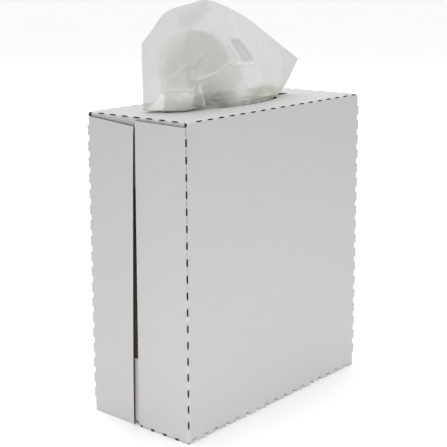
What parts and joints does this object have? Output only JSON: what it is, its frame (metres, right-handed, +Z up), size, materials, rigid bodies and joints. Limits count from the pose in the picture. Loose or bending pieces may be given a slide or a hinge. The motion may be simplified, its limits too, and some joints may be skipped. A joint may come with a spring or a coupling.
{
  "type": "tissue box",
  "caption": "Upright carton of dry wipes folded from thin corrugated board, with perforated folds, a top slot and one wipe standing through it.",
  "frame": {"origin": "middle of the base, on the surface that the carton stands on", "axes": "+Z up, +X along the broad faces, +Y from the front broad face to the back one"},
  "size_m": [0.226, 0.1024, 0.3293],
  "materials": {
    "board": "matt white liner, bare kraft at the cut edges",
    "stacked_cloth": "soft pressed stack",
    "cloth": "soft, thin and slightly see-through"
  },
  "bodies": {
    "root": {"carton": "board", "wipe_stack": "stacked_cloth", "standing_wipe": "cloth"}
  },
  "joints": []
}
